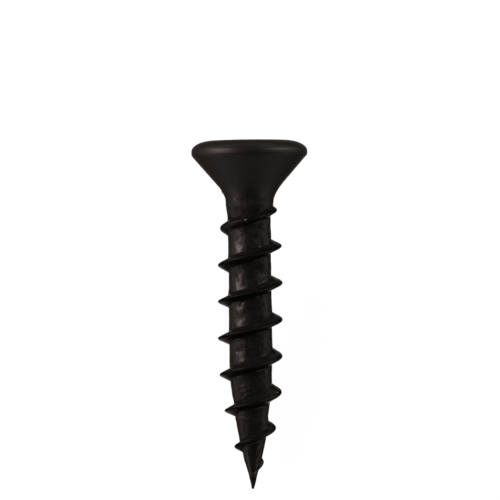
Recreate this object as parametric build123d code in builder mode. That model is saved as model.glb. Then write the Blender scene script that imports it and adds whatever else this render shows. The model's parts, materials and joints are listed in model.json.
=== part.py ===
"""A countersunk drawer slide screw: cross recess, coarse thread and a gimlet point.

The screw is drawn upright, with the middle of its head's top face at the origin and its point down -Z.
It is then laid down as it rests, on the rim of its head and on its thread, with the head towards +Y.
A depth is a distance below the head's top face, along the screw's axis. Sizes are millimetres and degrees.
"""

import os
from math import asin, atan, cos, degrees, hypot, radians, sin, tan

from build123d import *

# Whole screw: a No. 8 screw one inch long
overall_length = 25.4
head_dia = 8.46
major_dia = 4.69
root_dia = 3.14
pitch = 2.665

# Head, from the rounded upper edge down the countersink to the neck
head_angle = 82
edge_round_width = 1.38
edge_round_drop = 0.87
rim_height = 0.13
rim_corner_radius = 0.25
neck_fillet_radius = 2.4
neck_dia = 3.52
neck_land = 0.1
neck_taper_length = 0.95

# Gimlet point, whose root narrows as one minus a power of the way along it, to a small blunt end
point_length = 8.9
point_power = 1.8
point_end_dia = 0.12

# Thread rib: its flanks, as axial run for each millimetre of height, and its flat crest
upper_flank_run = 0.55
lower_flank_run = 0.72
crest_width = 0.12
crest_depth = 10.36
rib_sink = 0.15

# Where the rib grows out of the head and runs out at the point
start_above_neck = 0.5
start_height = 0.2
run_in_length = 4.35
fade_length = 7.54
bare_point = 0.9

# Cross recess for a No. 2 driver
recess_span = 5.15
recess_arm_width = 1.38
recess_wing_depth = 2.8
recess_wing_slope = 26.5
recess_wing_draft = 2.9
recess_core_dia = 2.3
recess_floor_dia = 1.7
recess_floor_drop = 0.42

# Steps in the drawing of curved forms
sections_per_turn = 16
point_steps = 8

# Sizes that follow from those above
head_r = head_dia / 2
major_r = major_dia / 2
root_r = root_dia / 2
neck_r = neck_dia / 2
point_end_r = point_end_dia / 2
half_angle = radians(head_angle / 2)
rim_end = edge_round_drop + rim_height
rim_corner = rim_end + rim_corner_radius * tan((radians(90) - half_angle) / 2)
neck_corner = rim_corner + (head_r - neck_r) / tan(half_angle)
neck_end = neck_corner + neck_fillet_radius * tan(half_angle / 2) + neck_land
root_start = neck_end + neck_taper_length
point_start = overall_length - point_length
rib_start = neck_corner - start_above_neck
fade_start = overall_length - fade_length
fade_end = overall_length - bare_point
rib_end = fade_end + rib_sink


def core_radius(depth):
    """Radius of the screw without its thread, below the head."""
    if depth < neck_end:
        return neck_r
    if depth < root_start:
        return neck_r + (root_r - neck_r) * (depth - neck_end) / neck_taper_length
    along = max(0, depth - point_start) / point_length
    return point_end_r + (root_r - point_end_r) * (1 - along**point_power)


def crest_radius(depth):
    """Radius of the thread's crest: it climbs from the neck, runs full, and sinks into the point."""
    run_in = (depth - rib_start) / run_in_length
    if run_in < 1:
        start_r = neck_r + start_height
        return start_r + (major_r - start_r) * run_in
    faded = max(0, depth - fade_start) / (fade_end - fade_start)
    return core_radius(depth) + (major_r - root_r) * (1 - faded**2)


def rib_section(depth):
    """Corners of the rib's section in its half plane, from the upper root round to the lower one."""
    crest_r = crest_radius(depth)
    height = crest_r - core_radius(depth) + rib_sink
    upper_root = depth - height * upper_flank_run - crest_width / 2
    lower_root = depth + height * lower_flank_run + crest_width / 2
    return [
        (core_radius(upper_root) - rib_sink, -upper_root),
        (crest_r, -depth + crest_width / 2),
        (crest_r, -depth - crest_width / 2),
        (core_radius(lower_root) - rib_sink, -lower_root),
    ]


def rib_plane(depth):
    """Half plane through the axis that the right-hand thread's crest crosses at this depth."""
    turn = radians(-360 * (depth - crest_depth) / pitch)
    return Plane(origin=(0, 0, 0), x_dir=(cos(turn), sin(turn), 0), z_dir=(sin(turn), -cos(turn), 0))


def rib_length(start, end):
    """A length of the rib, about one turn, as a loft through its sections."""
    steps = max(2, round((end - start) / pitch * sections_per_turn))
    with BuildPart() as rib:
        for step in range(steps + 1):
            depth = start + (end - start) * step / steps
            with BuildSketch(rib_plane(depth)):
                with BuildLine():
                    Polyline(*rib_section(depth), close=True)
                make_face()
        loft()
    return rib.part


def rest_lean():
    """How far the axis leans when the screw lies on its rim and on the first crest that touches."""
    leans = []
    lowest_crest = crest_depth - pitch / 4
    while lowest_crest < rib_end:
        if lowest_crest > root_start:
            run = lowest_crest + crest_width / 2 - rim_end
            drop = head_r - rim_corner_radius - crest_radius(lowest_crest)
            leans.append(degrees(atan(drop / run) + asin(rim_corner_radius / hypot(run, drop))))
        lowest_crest += pitch
    return min(leans)


# Core: head, neck, root and point turned as one profile
with BuildPart() as core:
    with BuildSketch(Plane.XZ):
        with BuildLine():
            edge_start = head_r - edge_round_width
            Line((0, 0), (edge_start, 0))
            EllipticalCenterArc(
                (edge_start, -edge_round_drop), edge_round_width, edge_round_drop, arc_size=90
            )
            FilletPolyline(
                (head_r, -edge_round_drop),
                (head_r, -rim_corner),
                (neck_r, -neck_corner),
                (neck_r, -neck_end),
                radius=[rim_corner_radius, neck_fillet_radius],
            )
            depths = [point_start + (rib_end - point_start) * step / point_steps for step in range(point_steps + 1)]
            depths.append(overall_length)
            point_line = [(core_radius(depth), -depth) for depth in depths]
            Polyline((neck_r, -neck_end), (root_r, -root_start), *point_line, (0, -overall_length), (0, 0))
        make_face()
    revolve(axis=Axis.Z)

# Thread rib, made a turn at a time
turns = round((rib_end - rib_start) / pitch)
turn_ends = [rib_start + (rib_end - rib_start) * turn / turns for turn in range(turns + 1)]
rib_turns = [rib_length(start, end) for start, end in zip(turn_ends, turn_ends[1:])]

# Cross recess: two tapered wings crossed over a tapered core with a shallow cone below it
with BuildPart() as recess:
    wing_floor_span = recess_span - 2 * recess_wing_depth * tan(radians(recess_wing_slope))
    wing_floor_width = recess_arm_width - 2 * recess_wing_depth * tan(radians(recess_wing_draft))
    for quarter in (0, 90):
        with BuildSketch(Plane.XY.rotated((0, 0, quarter))):
            Rectangle(recess_span, recess_arm_width)
        with BuildSketch(Plane.XY.offset(-recess_wing_depth).rotated((0, 0, quarter))):
            Rectangle(wing_floor_span, wing_floor_width)
        loft()
    with BuildSketch(Plane.XZ):
        with BuildLine():
            Polyline(
                (0, 0),
                (recess_core_dia / 2, 0),
                (recess_floor_dia / 2, -recess_wing_depth),
                (0, -recess_wing_depth - recess_floor_drop),
                close=True,
            )
        make_face()
    revolve(axis=Axis.Z)

with BuildPart() as upright:
    add(core.part)
    add(rib_turns)
    add(recess.part, mode=Mode.SUBTRACT)

# Laid down: the lowest points of rim and thread on z = 0, below the middle of the whole
rest_rotation = (rest_lean() - 90, 0, 0)
with BuildPart() as lying:
    add(upright.part, rotation=rest_rotation)
box = lying.part.bounding_box()
with BuildPart() as screw:
    with Locations((-box.center().X, -box.center().Y, -box.min.Z)):
        add(upright.part, rotation=rest_rotation)

screw.part.label = "screw"
os.makedirs("parts", exist_ok=True)
export_step(screw.part, "parts/screw.step")

print(f"lean {rest_lean():.2f} degrees, volume {screw.part.volume:.1f} mm3, solids {len(screw.part.solids())}")
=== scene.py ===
import bpy
import json
import math
from mathutils import Matrix, Vector, noise


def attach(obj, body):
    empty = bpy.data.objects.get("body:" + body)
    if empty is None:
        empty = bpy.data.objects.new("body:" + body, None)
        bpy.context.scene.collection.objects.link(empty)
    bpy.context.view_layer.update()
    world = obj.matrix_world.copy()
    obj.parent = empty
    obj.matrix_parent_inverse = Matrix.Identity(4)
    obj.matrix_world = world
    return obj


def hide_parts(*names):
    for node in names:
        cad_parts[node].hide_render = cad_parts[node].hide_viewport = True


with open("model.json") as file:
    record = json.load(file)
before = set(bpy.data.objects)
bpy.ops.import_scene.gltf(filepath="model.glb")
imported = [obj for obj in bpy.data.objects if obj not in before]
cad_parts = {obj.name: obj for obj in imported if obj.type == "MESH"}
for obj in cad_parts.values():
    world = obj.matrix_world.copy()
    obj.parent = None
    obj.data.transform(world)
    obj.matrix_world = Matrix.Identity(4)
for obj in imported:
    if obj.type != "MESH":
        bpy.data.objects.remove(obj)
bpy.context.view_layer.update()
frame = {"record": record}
print("packed frame loaded")

# The record says where the drive recess is and which way the screw's axis runs, from point to head
recessMount = next(m for m in frame["record"]["mounts"] if m["name"] == "drive_recess")
headTop = Vector(recessMount["pos_m"])
axis = Vector(recessMount["axis"]).normalized()
across = Vector((1, 0, 0))
facing = across.cross(axis)  # square to the axis, on the side that faces up from the floor
layDown = Matrix((across, axis.cross(across), axis)).transposed().to_4x4()
layDown.translation = headTop


def linearColour(hexColour):
    # an sRGB hex colour as the linear colour that a shader takes
    parts = [int(hexColour[i : i + 2], 16) / 255 for i in (1, 3, 5)]
    return (*[c / 12.92 if c <= 0.04045 else ((c + 0.055) / 1.055) ** 2.4 for c in parts], 1)


def addNode(tree, kind, settings=None, links=None):
    # one node with its settings, which are sockets or properties, and its links as (node, output)
    node = tree.nodes.new(kind)
    for name, value in (settings or {}).items():
        if isinstance(name, int) or name in node.inputs:
            node.inputs[name].default_value = value
        else:
            setattr(node, name, value)
    for name, (source, output) in (links or {}).items():
        tree.links.new(source.outputs[output], node.inputs[name])
    return node


def newMaterial(name):
    material = bpy.data.materials.new(name)
    material.use_nodes = True
    material.node_tree.nodes.clear()
    return material, material.node_tree


def smooth(x):
    x = min(1, max(0, x))
    return x * x * (3 - 2 * x)


def readOff(table, x, column=1):
    # a value from a table whose first column is x, eased from each row to the next
    if x <= table[0][0]:
        return table[0][column]
    for here, after in zip(table, table[1:]):
        if x < after[0]:
            share = smooth((x - here[0]) / (after[0] - here[0]))
            return here[column] + (after[column] - here[column]) * share
    return table[-1][column]


def roundMax(a, b, blend):
    # the larger of the two, with the corner where they cross rounded
    near = max(0, blend - abs(a - b)) / blend
    return max(a, b) + near * near * blend / 4


def roundMin(a, b, blend):
    return -roundMax(-a, -b, blend)


# Camera: looks down on the lying screw, square to its axis, with a long lens
camera = {
    "lens": 200,
    "sensor": 36,
    "viewWidth": 36.39,  # mm across the picture, at the screw's axis
    "middleDepth": 7.985,  # mm below the head's top face
    "middleAside": 0.004,
    "tiltUp": 0.8,  # degrees towards the head
    "roll": 0.6,
}


def placeCamera():
    data = bpy.data.cameras.new("camera")
    data.lens = camera["lens"]
    data.sensor_width = camera["sensor"]
    data.clip_start = 0.01
    data.clip_end = 5
    eye = bpy.data.objects.new("camera", data)
    bpy.context.collection.objects.link(eye)
    tilt = math.radians(camera["tiltUp"])
    back = facing * math.cos(tilt) + axis * math.sin(tilt)
    aim = headTop - axis * camera["middleDepth"] / 1000 + across * camera["middleAside"] / 1000
    eye.location = aim + back * camera["viewWidth"] / 1000 * camera["lens"] / camera["sensor"]
    up = axis - back * axis.dot(back)
    up.normalize()
    right = up.cross(back)
    turn = Matrix((right, up, back)).transposed()
    roll = Matrix.Rotation(math.radians(-camera["roll"]), 3, "Z")
    eye.rotation_euler = (turn @ roll).to_euler()
    bpy.context.scene.camera = eye


placeCamera()
print("camera placed")

# Studio: a pale round sweep and soft lamps, sizes in metres
studio = {
    "sweepRadius": 0.6,
    "sweepFlat": 0.8,  # the share of the radius that is flat
    "sweepHeight": 0.1,
    "sweepSteps": 96,
    "floorColour": "#c2c2c2",
    # what the camera and the steel's gloss see of the floor: a glow that brings it to white, and a share of
    # the lamps' light, which keeps the shadow
    "floorGlow": 0.94,
    "floorShade": 0.12,
    "worldColour": "#fbfff7",
    "worldStrength": 0.08,
}
lamps = [
    # name, direction from the screw, distance, width, length along the screw, brightness against white
    # paper, colour
    ("softboxLeft", (-0.81, 0.29, 0.50), 0.14, 0.076, 0.07, 19.5, "#ffe6e4"),
    ("stripHeadLeft", (-0.66, 0.75, 0.045), 0.30, 0.05, 0.24, 5.8, "#ffe6e4"),
    ("softboxRight", (0.80, 0.45, 0.42), 0.11, 0.09, 0.05, 8.3, "#fff0eb"),
    ("softboxHead", (0.36, 0.92, 0.12), 0.40, 0.20, 0.07, 5, "#fff0eb"),
    ("reflectorFootLeft", (-0.73, -0.66, 0.15), 0.40, 0.20, 0.12, 4.2, "#ffe6e4"),
    ("reflectorFootRight", (0.73, -0.66, 0.15), 0.40, 0.20, 0.12, 2.2, "#fff0eb"),
]


def makeSweep():
    radius = studio["sweepRadius"]
    flat = studio["sweepFlat"]
    steps = studio["sweepSteps"]
    profile = [(radius * flat * t / 8, 0) for t in range(1, 9)]
    for t in range(1, 11):
        angle = math.radians(90 * t / 10)
        reach = radius * (flat + (1 - flat) * math.sin(angle))
        profile.append((reach, studio["sweepHeight"] * (1 - math.cos(angle))))
    points = [(0, 0, 0)]
    faces = []
    for ring, (reach, height) in enumerate(profile):
        for step in range(steps):
            turn = 2 * math.pi * step / steps
            points.append((reach * math.cos(turn), reach * math.sin(turn), height))
            here = 1 + ring * steps + step
            beside = 1 + ring * steps + (step + 1) % steps
            if ring == 0:
                faces.append((0, here, beside))
            else:
                faces.append((here - steps, here, beside, beside - steps))
    mesh = bpy.data.meshes.new("studioSweep")
    mesh.from_pydata(points, [], faces)
    for face in mesh.polygons:
        face.use_smooth = True
    sweep = bpy.data.objects.new("studioSweep", mesh)
    bpy.context.collection.objects.link(sweep)

    material, tree = newMaterial("paleStudioPaper")
    rays = addNode(tree, "ShaderNodeLightPath")
    looked = addNode(
        tree, "ShaderNodeMath", {"operation": "MAXIMUM"},
        {0: (rays, "Is Camera Ray"), 1: (rays, "Is Transmission Ray")},
    )
    seen = addNode(
        tree, "ShaderNodeMath", {"operation": "MAXIMUM"}, {0: (looked, 0), 1: (rays, "Is Glossy Ray")}
    )
    paper = linearColour(studio["floorColour"])
    share = studio["floorShade"]
    plain = addNode(tree, "ShaderNodeBsdfDiffuse", {"Color": paper})
    shade = addNode(tree, "ShaderNodeBsdfDiffuse", {"Color": (share, share, share, 1)})
    glow = addNode(tree, "ShaderNodeEmission", {"Strength": studio["floorGlow"]})
    white = addNode(tree, "ShaderNodeAddShader", {}, {0: (shade, 0), 1: (glow, 0)})
    mix = addNode(tree, "ShaderNodeMixShader", {}, {0: (seen, 0), 1: (plain, 0), 2: (white, 0)})
    addNode(tree, "ShaderNodeOutputMaterial", {}, {"Surface": (mix, 0)})
    mesh.materials.append(material)


def lightStudio():
    world = bpy.data.worlds.new("studioWorld")
    world.use_nodes = True
    background = world.node_tree.nodes["Background"]
    background.inputs["Color"].default_value = linearColour(studio["worldColour"])
    background.inputs["Strength"].default_value = studio["worldStrength"]
    bpy.context.scene.world = world
    for name, direction, distance, width, length, brightness, colour in lamps:
        data = bpy.data.lights.new(name, "AREA")
        data.shape = "RECTANGLE"
        data.color = linearColour(colour)[:3]
        data.size = width
        data.size_y = length
        data.energy = brightness * math.pi * width * length
        lamp = bpy.data.objects.new(name, data)
        bpy.context.collection.objects.link(lamp)
        away = Vector(direction).normalized()
        along = (Vector((0, 1, 0)) - away * away.y).normalized()
        lamp.location = away * distance
        lamp.rotation_euler = Matrix((along.cross(away), along, away)).transposed().to_euler()
        lamp.visible_camera = False


makeSweep()
lightStudio()
bpy.context.scene.view_settings.view_transform = "Standard"
print("studio lit")

# The screw, in millimetres. A depth is measured along the axis from the head's top face
screw = {
    "length": 25.4,
    "headRadius": 4.23,
    "flatRadius": 2.8,
    "roundStart": 2.6,  # where the ellipse of the head's upper edge starts
    "edgeDrop": 0.82,
    "rimEnd": 0.94,
    "rimCorner": 0.36,
    "coneAngle": 82,
    "neckRadius": 1.76,
    "neckFillet": 2.0,
    "taperStart": 4.6,
    "neckTaper": 1.1,
    "rootRadius": 1.57,
    "pitch": 2.665,
    "threadRadius": 2.345,
    "crestDepth": 10.36,  # a depth at which the crest is at the right-hand side
    "runInStart": 3.455,
    "runInHeight": 0.2,
    "runInLength": 4.35,
    "pointLength": 8.9,
    "pointPower": 1.8,
    "pointEnd": 0.06,
    "fadeStart": 17.86,
    "fadeEnd": 24.5,
    "crests": [
        # depth, how far the crest strays down the axis and out of its even line, how bluntly its flanks
        # blend, and the flanks' run along the axis for each millimetre of height, above and below
        (3.2, 0, 0, 0.3, 0.5, 0.5),
        (4.2, 0.05, 0, 0.3, 0.5, 0.5),
        (5.03, 0.07, -0.08, 0.3, 0.7, 0.56),
        (6.36, 0.03, -0.08, 0.75, 0.64, 0.64),
        (7.7, 0, 0.01, 0.36, 0.43, 0.45),
        (9.03, 0.035, -0.02, 0.5, 0.47, 0.55),
        (10.36, 0.03, 0.03, 0.5, 0.46, 0.45),
        (11.7, 0.04, 0.01, 0.36, 0.46, 0.4),
        (13.03, 0.05, 0.0, 0.5, 0.52, 0.4),
        (14.36, 0.055, 0.05, 0.5, 0.46, 0.38),
        (15.7, 0.05, -0.05, 0.6, 0.62, 0.48),
        (17.02, 0.03, -0.04, 0.5, 0.47, 0.47),
        (18.36, 0.02, -0.045, 0.65, 0.64, 0.53),
        (19.7, 0.0, -0.037, 0.4, 0.5, 0.36),
        (21.02, 0.0, -0.01, 0.95, 0.5, 0.4),
        (22.35, -0.02, 0.055, 0.4, 0.5, 0.42),
        (23.6, -0.1, 0.045, 0.35, 0.8, 0.5),
        (24.5, 0, 0, 0.2, 0.5, 0.5),
    ],
    "trim": [  # how far the body stands out of its even line: hollowed between the last turns
        (3.0, 0), (3.6, 0.018), (4.35, -0.03), (5.1, -0.03), (5.9, 0),
        (9.0, -0.01), (9.8, -0.038), (10.6, -0.035), (11.2, 0), (15.8, 0), (16.8, -0.038), (18.0, -0.03),
        (19.25, -0.1), (19.95, -0.1), (20.35, -0.045), (20.7, -0.03), (21.3, -0.03), (22.3, -0.012),
        (23.0, -0.02), (24.4, -0.04), (25.2, 0),
    ],
    "sway": [  # how far the middle line strays sideways, at a depth: the shank isn't rolled quite true
        (0, 0.02), (0.9, 0.03), (1.4, 0), (3.0, 0), (3.6, 0.018), (4.4, 0.0), (5.7, -0.035), (8.5, -0.022),
        (11.1, -0.026), (13.7, -0.012), (15.7, -0.005), (17.1, -0.015), (18.4, 0.01), (19.3, 0.035),
        (19.8, 0.03), (20.15, -0.002), (20.6, 0.045), (21.9, 0.056), (24, 0.062), (24.8, 0.058),
        (25.4, 0.035),
    ],
    "rootHollow": 0.03,  # how far the root rises again towards the next crest down
    "hollowStart": 1.15,  # below the crest
    "hollowLength": 1.1,
    "fullRib": 0.7,  # a rib this high has the whole hollow beside it
    "ribFade": 0.3,  # the height over which the body's surface gives way to the rib's
    "upperFillet": 0.08,  # how softly the rib's flanks run into the body
    "lowerFillet": 0.2,
    "headInset": 0.004,  # keeps the head's swells inside its size
    "rimRubbed": 0.3,
    "rimRubbedTo": 1.3,
    "rimRubbedFade": 0.3,
    "mattFrom": 3.2,  # from here down the head's matt coat gives way to the shank's
    "mattFade": 2.0,
    "sharpAngle": 38,  # degrees: edges of the mesh that turn more than this are sharp
}

# Points of the mesh, from the head's flat top to the tip
grid = {
    "columns": 160,  # the recess is drawn with as many
    "flatRings": 8,
    "edgeRings": 18,
    "rimDepths": [0.86, 0.9, 0.94, 0.965, 0.99, 1.02, 1.05, 1.09, 1.13, 1.19],
    "coneRings": 22,
    "top": 3.2,  # between these depths the rows follow the thread
    "end": 24.62,
    "gap": 0.02,  # the least that a row stays away from them
    "turnsUp": 5,  # whole turns that the rows may reach, from the crest at crestDepth
    "turnsDown": 8,
    "crestRows": [  # how far each row is below the crest, close together where the surface turns
        0, 0.03, 0.06, 0.095, 0.14, 0.2, 0.28, 0.37, 0.45, 0.52, 0.58, 0.64, 0.7, 0.77, 0.85, 0.94,
        1.03, 1.12, 1.21, 1.3, 1.39, 1.48, 1.57, 1.66, 1.75, 1.84, 1.93, 2.0, 2.07, 2.13, 2.19, 2.25,
        2.32, 2.39, 2.45, 2.5, 2.54, 2.575, 2.605, 2.635,
    ],
    "tipRings": [  # points round, depth, and its own radius where the tip is rounded off
        (160, 24.72, 0), (80, 24.82, 0), (80, 24.92, 0), (80, 25.02, 0), (40, 25.12, 0), (40, 25.2, 0),
        (40, 25.26, 0), (20, 25.32, 0.105), (20, 25.36, 0.09), (20, 25.388, 0.055),
    ],
}

coneTurn = math.radians(screw["coneAngle"] / 2)
coneSlope = math.tan(coneTurn)
coneCorner = screw["rimEnd"] + screw["rimCorner"] * math.tan(coneTurn / 2)
neckCorner = coneCorner + (screw["headRadius"] - screw["neckRadius"]) / coneSlope
filletEnd = neckCorner + screw["neckFillet"] * math.tan(coneTurn / 2)
filletStart = filletEnd - screw["neckFillet"] * math.sin(coneTurn)


def evenRadius(depth):
    # the screw without its thread, from the rim of the head to the point
    s = screw
    if depth < s["rimEnd"]:
        return s["headRadius"]
    if depth < s["rimEnd"] + s["rimCorner"] * math.sin(coneTurn):
        drop = depth - s["rimEnd"]
        return s["headRadius"] - s["rimCorner"] + math.sqrt(s["rimCorner"] ** 2 - drop**2)
    if depth < filletStart:
        return s["headRadius"] - (depth - coneCorner) * coneSlope
    if depth < s["taperStart"] + s["neckTaper"]:
        reach = s["neckFillet"]
        left = max(0, filletEnd - depth)
        eased = smooth((depth - s["taperStart"]) / s["neckTaper"])
        neck = s["neckRadius"] + reach - math.sqrt(reach**2 - left**2)
        return neck + (s["rootRadius"] - s["neckRadius"]) * eased
    along = min(1, max(0, depth - s["length"] + s["pointLength"]) / s["pointLength"])
    return s["pointEnd"] + (s["rootRadius"] - s["pointEnd"]) * (1 - along ** s["pointPower"])


def bodyRadius(depth):
    return evenRadius(depth) + readOff(screw["trim"], depth)


def crestRadius(depth):
    s = screw
    runIn = (depth - s["runInStart"]) / s["runInLength"]
    if runIn < 1:
        start = s["neckRadius"] + s["runInHeight"]
        even = start + (s["threadRadius"] - start) * runIn
    else:
        faded = max(0, depth - s["fadeStart"]) / (s["fadeEnd"] - s["fadeStart"])
        even = evenRadius(depth) + (s["threadRadius"] - s["rootRadius"]) * (1 - faded**2)
    return even + readOff(s["crests"], depth, 2)


def strayed(depth):
    return depth + readOff(screw["crests"], depth, 1)


def threadRadius(crestAt, depth):
    # the rib of the thread whose crest is at one depth, seen at another depth on the same side
    blunt, above, below = [readOff(screw["crests"], crestAt, column) for column in (3, 4, 5)]
    peak = crestRadius(crestAt) + blunt / 4
    offset = depth - strayed(crestAt)
    return roundMin(peak + offset / above, peak - offset / below, blunt)


# Short ridges that the rolling die left above one crest, near the start of the point
dieRidges = {
    "crestFrom": 17.5,
    "crestTo": 20.5,
    "side": -105,  # degrees round the screw, and how far they reach each way
    "reach": 20,
    "aboveCrest": (0.3, 0.66, 1.02, 1.38),
    "width": 0.1,
    "height": 0.032,
    "rubbed": 0.6,
}


def dieMarks(offset, turn, crestAt):
    # how far a place is on one of the ridges: 0 to 1
    d = dieRidges
    if not d["crestFrom"] < crestAt < d["crestTo"]:
        return 0
    side = (turn - d["side"]) / d["reach"]
    ridges = sum(math.exp(-(((offset + place) / d["width"]) ** 2)) for place in d["aboveCrest"])
    return ridges * math.exp(-(side**4))


# Rolled and tumbled steel is never quite true: how far across its rises are, and how high
uneven = {
    "swell": (1.3, 0.01),
    "hollows": (0.3, 0.021),
    "grain": (0.13, 0.004),
    "hollowsShift": (7, 3, 1),  # each has a pattern of its own
    "grainShift": (2, 9, 4),
    "lengthwise": 0.6,  # the hollows are drawn out along the screw
    "rolledFrom": 3.6,  # the headed part above is smoother than the rolled one
    "rolledFade": 0.8,
    "headSwell": 0.3,  # shares of it that the head and the rib keep
    "headGrain": 0.08,
    "ribGrain": 0.2,
}


def unevenness(point, depth, onRib=0):
    # the rib of the thread fills its groove in the die and comes out smoother
    u = uneven
    drawn = Vector((point.x, point.y, point.z * u["lengthwise"]))
    swell = noise.noise(point / u["swell"][0]) * u["swell"][1]
    hollows = noise.noise(drawn / u["hollows"][0] + Vector(u["hollowsShift"])) * u["hollows"][1]
    grain = noise.noise(point / u["grain"][0] + Vector(u["grainShift"])) * u["grain"][1]
    rolled = smooth((depth - u["rolledFrom"]) / u["rolledFade"])
    swell *= u["headSwell"] + (1 - u["headSwell"]) * rolled
    rough = (hollows + grain) * (u["headGrain"] + (1 - u["headGrain"]) * rolled)
    return swell + rough * (1 - (1 - u["ribGrain"]) * onRib)


def screwPoint(depth, turn, radius):
    angle = math.radians(turn)
    aside = readOff(screw["sway"], depth)
    return Vector((radius * math.cos(angle) + aside, radius * math.sin(angle), -depth))


def ribAndBody(evenDepth, turn):
    # the crest above a place on the screw, its true depth, and the radii of the rib and the body there
    pitch = screw["pitch"]
    crestAt = screw["crestDepth"] - pitch * turn / 360
    crestAt += pitch * math.floor((evenDepth - crestAt) / pitch)
    depth = strayed(evenDepth)
    body = bodyRadius(depth)
    ribHeight = crestRadius(crestAt + pitch) - bodyRadius(crestAt + pitch)
    rise = smooth((depth - crestAt - screw["hollowStart"]) / screw["hollowLength"])
    body += screw["rootHollow"] * smooth(ribHeight / screw["fullRib"]) * rise
    rib = max(threadRadius(crestAt, depth), threadRadius(crestAt + pitch, depth))
    return crestAt, depth, rib, body


def surfacePoint(evenDepth, turn):
    crestAt, depth, rib, radius = ribAndBody(evenDepth, turn)
    nextCrest = crestAt + screw["pitch"]
    onRib = smooth((rib - radius) / screw["ribFade"])
    fillet = screw["lowerFillet"] if depth - crestAt < screw["pitch"] / 2 else screw["upperFillet"]
    fillet = min(fillet, max(0.01, radius / 2))  # less where the point narrows
    radius = roundMax(radius, rib, fillet)
    radius += dieRidges["height"] * dieMarks(depth - nextCrest, turn, nextCrest)
    radius += unevenness(screwPoint(depth, turn, radius), depth, onRib)
    return screwPoint(depth, turn, radius)


# Painted shade over the crest and in the corner above the rib, where the coat is also matt: how far it
# reaches, and the distance over which it fades out before that
paintedShadeAndMatt = {
    "belowCrest": (0.15, 0.12),
    "aboveCrest": (0.3, 0.2),
    "corner": (0.24, 0.2),  # above the foot of the rib
    "cornerShare": 0.8,  # how strong it is there against the crest
}


def paintedShadeAndMattShare(evenDepth, turn):
    # how much painted shade and matt coat a place has, along the crest and in the corner above the rib: 0
    # to 1
    crestAt, _, rib, body = ribAndBody(evenDepth, turn)
    onRib = smooth((rib - body) / screw["ribFade"])
    offset = evenDepth - crestAt
    if offset < screw["pitch"] / 2:
        reach, fade = paintedShadeAndMatt["belowCrest"]
        return onRib * smooth((reach - offset) / fade)
    reach, fade = paintedShadeAndMatt["aboveCrest"]
    seam = onRib * smooth((reach - screw["pitch"] + offset) / fade)
    reach, fade = paintedShadeAndMatt["corner"]
    return max(seam, paintedShadeAndMatt["cornerShare"] * smooth((reach - abs(rib - body)) / fade))


# Marks in the surface: depth, turn round the screw in degrees, size, how deep, how far rubbed bright
dents = [
    (4.19, -132, 0.1, 0.02, 0.8), (4.17, -127, 0.11, 0.02, 1.0), (4.16, -122, 0.1, 0.02, 0.6),
    (5.74, -97.5, 0.1, 0.02, 1.5), (8.9, -72, 0.07, 0.03, 0.8),
    (11.6, -48, 0.06, 0.03, 0.8), (14.1, -118, 0.06, 0.02, 0), (6.9, 60, 0.1, 0.03, 1.6),
    (9.7, 120, 0.09, 0.03, 1.6), (12.5, 40, 0.12, 0.03, 1.6), (15.8, 95, 0.08, 0.03, 1.6),
    (18.3, -20, 0.1, 0.03, 1.6), (20.2, 150, 0.09, 0.03, 1.6),
    # wide shallow hollows and swellings, which only turn the light
    (8.25, -121, 0.25, -0.012, 0), (13.5, -115, 0.22, -0.015, 0), (16.05, -116, 0.28, -0.03, 0),
    (7.6, -115, 0.24, 0.018, 0), (12.92, -115, 0.2, 0.018, 0),
    (15.26, -126, 0.13, 0.045, 0), (9.3, -60, 0.3, 0.03, 0),
    (12.1, 20, 0.3, 0.03, 0), (14.8, 110, 0.26, 0.035, 0), (17.4, 60, 0.3, 0.03, 0),
    (7.3, 150, 0.28, 0.035, 0),
]
dentCentres = [(surfacePoint(depth, turn), size, deep, worn) for depth, turn, size, deep, worn in dents]


def dented(point):
    # the point pressed in by the marks near it, and how far it is rubbed
    pressed = 0
    rubbed = 0
    for centre, size, deep, worn in dentCentres:
        near = math.exp(-(((point - centre).length / size) ** 2))
        pressed += deep * near
        rubbed = max(rubbed, worn * near)
    return point - Vector((point.x, point.y, 0)).normalized() * pressed, rubbed


# The drive recess: a cross whose wings and core taper to a shallow cone, in millimetres
recess = {
    "span": 5.15,
    "armWidth": 1.38,
    "wingDepth": 2.8,
    "wingSlope": 26.5,
    "wingDraft": 2.9,
    "coreRadius": 1.15,
    "coreFloorRadius": 0.85,
    "coneDrop": 0.42,
    "cornerRadius": 0.2,
    "cornerNarrowing": 0.35,
    "mouthRound": 0.07,
    "mouthRubbed": 0.8,
    "mouthRings": 5,
    "wallRings": 16,
    "floorRings": [  # points round, and how far out towards the wall
        (40, 0.06), (80, 0.16), (160, 0.3), (160, 0.45), (160, 0.6), (160, 0.75), (160, 0.88), (160, 0.96),
    ],
}


def crossOutline(depth, grow):
    # the cross at one depth, with a point for each column of the mesh, grown outwards at its rounded mouth
    r = recess
    reach = r["span"] / 2 - depth * math.tan(math.radians(r["wingSlope"])) + grow
    half = r["armWidth"] / 2 - depth * math.tan(math.radians(r["wingDraft"])) + grow
    core = r["coreRadius"] + (r["coreFloorRadius"] - r["coreRadius"]) * depth / r["wingDepth"] + grow
    corner = r["cornerRadius"] * (1 - r["cornerNarrowing"] * depth / r["wingDepth"]) + grow
    inner = math.sqrt(core * core - half * half)
    # an eighth of it: half the wing's end, its corner, its side, and an arc of the core
    octant = [(reach, (half - corner) * t / 4) for t in range(4)]
    for t in range(5):
        angle = math.radians(90 * t / 5)
        octant.append((reach - corner + corner * math.cos(angle), half - corner + corner * math.sin(angle)))
    octant += [(reach - corner + (inner - reach + corner) * t / 7, half) for t in range(7)]
    start = math.atan2(half, inner)
    for t in range(5):
        angle = start + (math.pi / 4 - start) * t / 4
        octant.append((core * math.cos(angle), core * math.sin(angle)))
    quadrant = octant + [(y, x) for x, y in octant[-2:0:-1]]
    outline = []
    for quarter in range(4):
        c, s = ((1, 0), (0, 1), (-1, 0), (0, -1))[quarter]
        outline += [(x * c - y * s, x * s + y * c) for x, y in quadrant]
    return [(x, -y) for x, y in outline]  # clockwise from above, as the columns run


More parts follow.
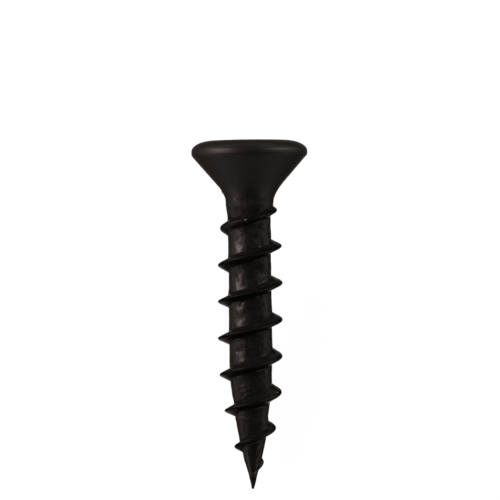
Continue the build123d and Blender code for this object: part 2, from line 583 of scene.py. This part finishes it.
def buildScrew():
    columns = grid["columns"]
    turns = [-360 * column / columns for column in range(columns)]
    points = []
    faces = []
    # what the finish needs to know of each point: how far it is rubbed, how much painted shade with matt
    # coat it has, and how matt its coat is
    finish = {"rubbedEdge": [], "paintedShadeAndMatt": [], "mattCoat": []}

    def addPoint(point, rubbed=0.0, shadeAndMatt=0.0, matt=1.0):
        points.append(Vector(point))
        for values, value in zip(finish.values(), (rubbed, shadeAndMatt, matt)):
            values.append(value)
        return len(points) - 1

    def addRing(ring, rubbed=0.0, matt=1.0):
        return [addPoint(point, rubbed, matt=matt) for point in ring]

    def bridge(a, b):
        # faces between two rings, of which one may have half as many points
        if len(a) == len(b):
            for i in range(len(a)):
                n = (i + 1) % len(a)
                faces.append((a[i], a[n], b[n], b[i]))
        elif len(a) > len(b):
            for i in range(len(b)):
                n = (i + 1) % len(b)
                p, q, r = a[2 * i], a[2 * i + 1], a[(2 * i + 2) % len(a)]
                faces.extend([(p, q, b[i]), (q, b[n], b[i]), (q, r, b[n])])
        else:
            for i in range(len(a)):
                n = (i + 1) % len(a)
                p, q, r = b[2 * i], b[2 * i + 1], b[(2 * i + 2) % len(b)]
                faces.extend([(a[i], q, p), (a[i], a[n], q), (a[n], r, q)])

    # the recess, from the middle of its floor up to its mouth
    floorLine = crossOutline(recess["wingDepth"], 0)
    rings = []
    middle = addPoint((0, 0, -recess["wingDepth"] - recess["coneDrop"]))
    for count, share in recess["floorRings"]:
        ring = []
        for x, y in floorLine[:: columns // count]:
            reach = math.hypot(x, y) * share
            inCone = max(0, 1 - reach / recess["coreFloorRadius"])
            ring.append((x * share, y * share, -recess["wingDepth"] - recess["coneDrop"] * inCone))
        rings.append(addRing(ring))
    for i in range(len(rings[0])):
        faces.append((middle, rings[0][i], rings[0][(i + 1) % len(rings[0])])[::-1])
    for step in range(recess["wallRings"] + 1):
        depth = max(recess["wingDepth"] * (1 - step / recess["wallRings"]), recess["mouthRound"])
        rings.append(addRing([(x, y, -depth) for x, y in crossOutline(depth, 0)]))
    for step in range(1, recess["mouthRings"] + 1):
        angle = math.radians(90 * step / recess["mouthRings"])
        grow = recess["mouthRound"] * (1 - math.cos(angle))
        depth = recess["mouthRound"] * (1 - math.sin(angle))
        ring = [(x, y, -depth) for x, y in crossOutline(depth, grow)]
        rings.append(addRing(ring, recess["mouthRubbed"] * math.sin(angle)))

    # the head's flat top, from the mouth out to the rounded edge
    mouth = crossOutline(0, recess["mouthRound"])
    flat = [screwPoint(0, turn, screw["flatRadius"]) for turn in turns]
    edgeWidth = screw["headRadius"] - screw["roundStart"]
    edgeStart = math.asin((screw["flatRadius"] - screw["roundStart"]) / edgeWidth)
    for step in range(1, grid["flatRings"] + 1):
        share = step / grid["flatRings"]
        ring = []
        for (x, y), outer in zip(mouth, flat):
            p = Vector((x, y, 0)).lerp(outer, share)
            p.z = -screw["edgeDrop"] * (1 - math.cos(edgeStart)) * share**2 + unevenness(p, 0) * share
            ring.append(p)
        rings.append(addRing(ring))
    for step in range(1, grid["edgeRings"] + 1):
        share = step / grid["edgeRings"]
        angle = edgeStart + (math.pi / 2 - edgeStart) * share
        radius = screw["roundStart"] + edgeWidth * math.sin(angle)
        depth = screw["edgeDrop"] * (1 - math.cos(angle))
        ring = []
        for turn in turns:
            bump = unevenness(screwPoint(depth, turn, radius), 0) - screw["headInset"]
            ring.append(screwPoint(depth, turn, radius + bump))
        rings.append(addRing(ring, screw["rimRubbed"] * smooth(2 * share - 1)))
    depths = list(grid["rimDepths"])
    coneTop = depths[-1]
    for step in range(1, grid["coneRings"] + 1):
        depths.append(coneTop + (grid["top"] - coneTop) * step / grid["coneRings"])
    for depth in depths:
        radius = bodyRadius(depth)
        ring = []
        for turn in turns:
            bump = unevenness(screwPoint(depth, turn, radius), depth) - screw["headInset"]
            ring.append(screwPoint(depth, turn, radius + bump))
        rimShare = smooth((screw["rimRubbedTo"] - depth) / screw["rimRubbedFade"])
        rings.append(addRing(ring, screw["rimRubbed"] * rimShare))

    for a, b in zip(rings, rings[1:]):
        bridge(a, b)
    topRing = rings[-1]

    # the neck, shank and point, in columns of points that follow the thread
    endRing = addRing([surfacePoint(grid["end"], turn) for turn in turns], matt=0.0)
    bodyColumns = []
    crestRows = grid["crestRows"]
    perTurn = len(crestRows)
    for column, turn in enumerate(turns):
        firstCrest = screw["crestDepth"] + screw["pitch"] * column / columns
        found = {}
        for row in range(-grid["turnsUp"] * perTurn, grid["turnsDown"] * perTurn):
            below = crestRows[row % perTurn]
            depth = firstCrest + screw["pitch"] * (row // perTurn) + below
            if grid["top"] + grid["gap"] < depth < grid["end"] - grid["gap"]:
                point, rubbed = dented(surfacePoint(depth, turn))
                onRidge = dieMarks(below - screw["pitch"], turn, depth - below + screw["pitch"])
                rubbed = max(dieRidges["rubbed"] * onRidge, rubbed)
                matt = 1 - smooth((depth - screw["mattFrom"]) / screw["mattFade"])
                found[row] = addPoint(point, rubbed, paintedShadeAndMattShare(depth, turn), matt)
        bodyColumns.append(found)
    for column in range(columns):
        here = bodyColumns[column]
        beside = bodyColumns[(column + 1) % columns]
        if column == columns - 1:
            beside = {row - perTurn: index for row, index in beside.items()}
        n = (column + 1) % columns
        first, last = min(here), max(here)
        firstBeside, lastBeside = min(beside), max(beside)
        faces.append((topRing[column], topRing[n], beside[firstBeside]))
        for row in range(firstBeside, first):
            faces.append((topRing[column], beside[row], beside[row + 1]))
        faces.append((topRing[column], beside[first], here[first]))
        for row in range(first, lastBeside):
            faces.append((here[row], beside[row], beside[row + 1], here[row + 1]))
        for row in range(lastBeside, last):
            faces.append((here[row], beside[lastBeside], here[row + 1]))
        faces.append((here[last], beside[lastBeside], endRing[n], endRing[column]))

    # the last of the point, with fewer columns as it narrows
    rings = [endRing]
    for count, depth, radius in grid["tipRings"]:
        ring = []
        for turn in turns[:: columns // count]:
            ring.append(screwPoint(depth, turn, radius) if radius else surfacePoint(depth, turn))
        rings.append(addRing(ring, matt=0.0))
    for a, b in zip(rings, rings[1:]):
        bridge(a, b)
    tip = addPoint(screwPoint(screw["length"], 0, 0), matt=0.0)
    last = rings[-1]
    for i in range(len(last)):
        faces.append((last[i], last[(i + 1) % len(last)], tip))

    mesh = bpy.data.meshes.new("drawerSlideScrew")
    mesh.from_pydata([layDown @ (p / 1000) for p in points], [], faces)
    mesh.validate()
    for face in mesh.polygons:
        face.use_smooth = True
    mesh.set_sharp_from_angle(angle=math.radians(screw["sharpAngle"]))
    for name, values in finish.items():
        mesh.attributes.new(name, "FLOAT", "POINT").data.foreach_set("value", values)
    piece = bpy.data.objects.new("drawerSlideScrew", mesh)
    bpy.context.collection.objects.link(piece)
    return piece


# Black phosphated steel: crystals of phosphate grown on the steel and then oiled. To the eye it is a
# near-black coat with a warm, satin sheen that breaks up in patches where the oil lies thicker
phosphate = {
    "colour": "#212221",
    "dryColour": "#292826",
    # a darker colour painted over the crests and in the corner above each rib, as painted shade
    "paintedShadeColour": "#171716",
    "rubbedColour": "#7a7370",
    "metallic": 0.75,
    "edgeTint": "#aba8a6",
    "oiledRoughness": 0.25,
    "dryRoughness": 0.36,
    "mattRoughness": 0.45,
    "oilPatch": 0.9,  # sizes in millimetres
    "lengthwise": 0.75,  # less than 1 draws the patches out along the screw
    "blotch": 0.25,
    "blotchHeight": 0.0035,
    "crystal": 0.07,  # real crystals are near 0.01, drawn coarser so that they show
    "crystalHeight": 0.0018,
    "patchShare": 0.55,  # of the oil patches in the mottle, beside the blotches
    "dryFrom": 0.62,  # how far up the mottle the coat begins to be dry, and is dry
    "dryTo": 0.96,
    "headDryness": 0.4,  # the head's own, and how far it evens out the patches there
    "headEvenness": 0.7,
    "rubbedFrom": 0.26,  # the rubbing, broken up by the blotches, begins and is full here
    "rubbedTo": 0.6,
    "rubbedMost": 0.8,
}


def blackPhosphatedSteel():
    material, tree = newMaterial("blackPhosphatedSteel")
    p = phosphate
    objectPlace = addNode(tree, "ShaderNodeTexCoord")
    # the screw lies along Y
    place = addNode(
        tree, "ShaderNodeMapping", {"Scale": (1, p["lengthwise"], 1)}, {"Vector": (objectPlace, "Object")}
    )
    patches = addNode(
        tree, "ShaderNodeTexNoise",
        {"Scale": 1000 / p["oilPatch"], "Detail": 3.0, "Roughness": 0.6, "Distortion": 0.4},
        {"Vector": (place, "Vector")},
    )
    blotches = addNode(
        tree, "ShaderNodeTexNoise",
        {"Scale": 1000 / p["blotch"], "Detail": 4.0, "Roughness": 0.65},
        {"Vector": (place, "Vector")},
    )
    crystals = addNode(
        tree, "ShaderNodeTexVoronoi",
        {"feature": "F1", "Scale": 1000 / p["crystal"], "Randomness": 1.0},
        {"Vector": (place, "Vector")},
    )
    mottle = addNode(
        tree, "ShaderNodeMath", {"operation": "MULTIPLY_ADD", 1: p["patchShare"]},
        {0: (patches, "Fac"), 2: (blotches, "Fac")},
    )
    dryness = addNode(
        tree, "ShaderNodeMapRange",
        {"From Min": p["dryFrom"], "From Max": p["dryTo"], "interpolation_type": "SMOOTHSTEP"},
        {"Value": (mottle, 0)},
    )
    # the head isn't pressed by the thread dies: its coat is matt all over, and more even
    matt = addNode(tree, "ShaderNodeAttribute", {"attribute_name": "mattCoat"})
    shadeAndMatt = addNode(tree, "ShaderNodeAttribute", {"attribute_name": "paintedShadeAndMatt"})
    calm = addNode(
        tree, "ShaderNodeMapRange", {"To Max": p["headEvenness"]}, {"Value": (matt, "Fac")}
    )
    evened = addNode(
        tree, "ShaderNodeMix",
        {"data_type": "FLOAT", 3: p["headDryness"]},
        {0: (calm, 0), 2: (dryness, 0)},
    )
    plainCoat = addNode(
        tree, "ShaderNodeMix",
        {"data_type": "RGBA", 6: linearColour(p["colour"]), 7: linearColour(p["dryColour"])},
        {0: (evened, 0)},
    )
    # the coat colour darkened by painted shade over the crests and in the corner above each rib
    coat = addNode(
        tree, "ShaderNodeMix",
        {"data_type": "RGBA", 7: linearColour(p["paintedShadeColour"])},
        {0: (shadeAndMatt, "Fac"), 6: (plainCoat, 2)},
    )
    edges = addNode(tree, "ShaderNodeAttribute", {"attribute_name": "rubbedEdge"})
    rubbing = addNode(
        tree, "ShaderNodeMath", {"operation": "MULTIPLY"}, {0: (edges, "Fac"), 1: (blotches, "Fac")}
    )
    rubbed = addNode(
        tree, "ShaderNodeMapRange",
        {"From Min": p["rubbedFrom"], "From Max": p["rubbedTo"], "To Max": p["rubbedMost"]},
        {"Value": (rubbing, 0)},
    )
    colour = addNode(
        tree, "ShaderNodeMix",
        {"data_type": "RGBA", 7: linearColour(p["rubbedColour"])},
        {0: (rubbed, 0), 6: (coat, 2)},
    )
    satin = addNode(
        tree, "ShaderNodeMapRange",
        {"To Min": p["oiledRoughness"], "To Max": p["dryRoughness"]},
        {"Value": (dryness, 0)},
    )
    dull = addNode(
        tree, "ShaderNodeMath", {"operation": "MAXIMUM"}, {0: (matt, "Fac"), 1: (shadeAndMatt, "Fac")}
    )
    roughness = addNode(
        tree, "ShaderNodeMix",
        {"data_type": "FLOAT", 3: p["mattRoughness"]},
        {0: (dull, 0), 2: (satin, 0)},
    )
    swelling = addNode(
        tree, "ShaderNodeBump", {"Strength": 1.0, "Distance": p["blotchHeight"] / 1000},
        {"Height": (blotches, "Fac")},
    )
    bump = addNode(
        tree, "ShaderNodeBump", {"Strength": 1.0, "Distance": p["crystalHeight"] / 1000},
        {"Height": (crystals, "Distance"), "Normal": (swelling, "Normal")},
    )
    edgeTint = linearColour(p["edgeTint"])
    steel = addNode(
        tree, "ShaderNodeBsdfPrincipled",
        {"Metallic": p["metallic"], "Specular IOR Level": 0.0, "Specular Tint": edgeTint},
        {"Base Color": (colour, 2), "Roughness": (roughness, 0), "Normal": (bump, 0)},
    )
    addNode(tree, "ShaderNodeOutputMaterial", {}, {"Surface": (steel, 0)})
    return material


piece = buildScrew()
piece.data.materials.append(blackPhosphatedSteel())
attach(piece, "root")
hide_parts("screw")
print("screw built,", len(piece.data.polygons), "faces")
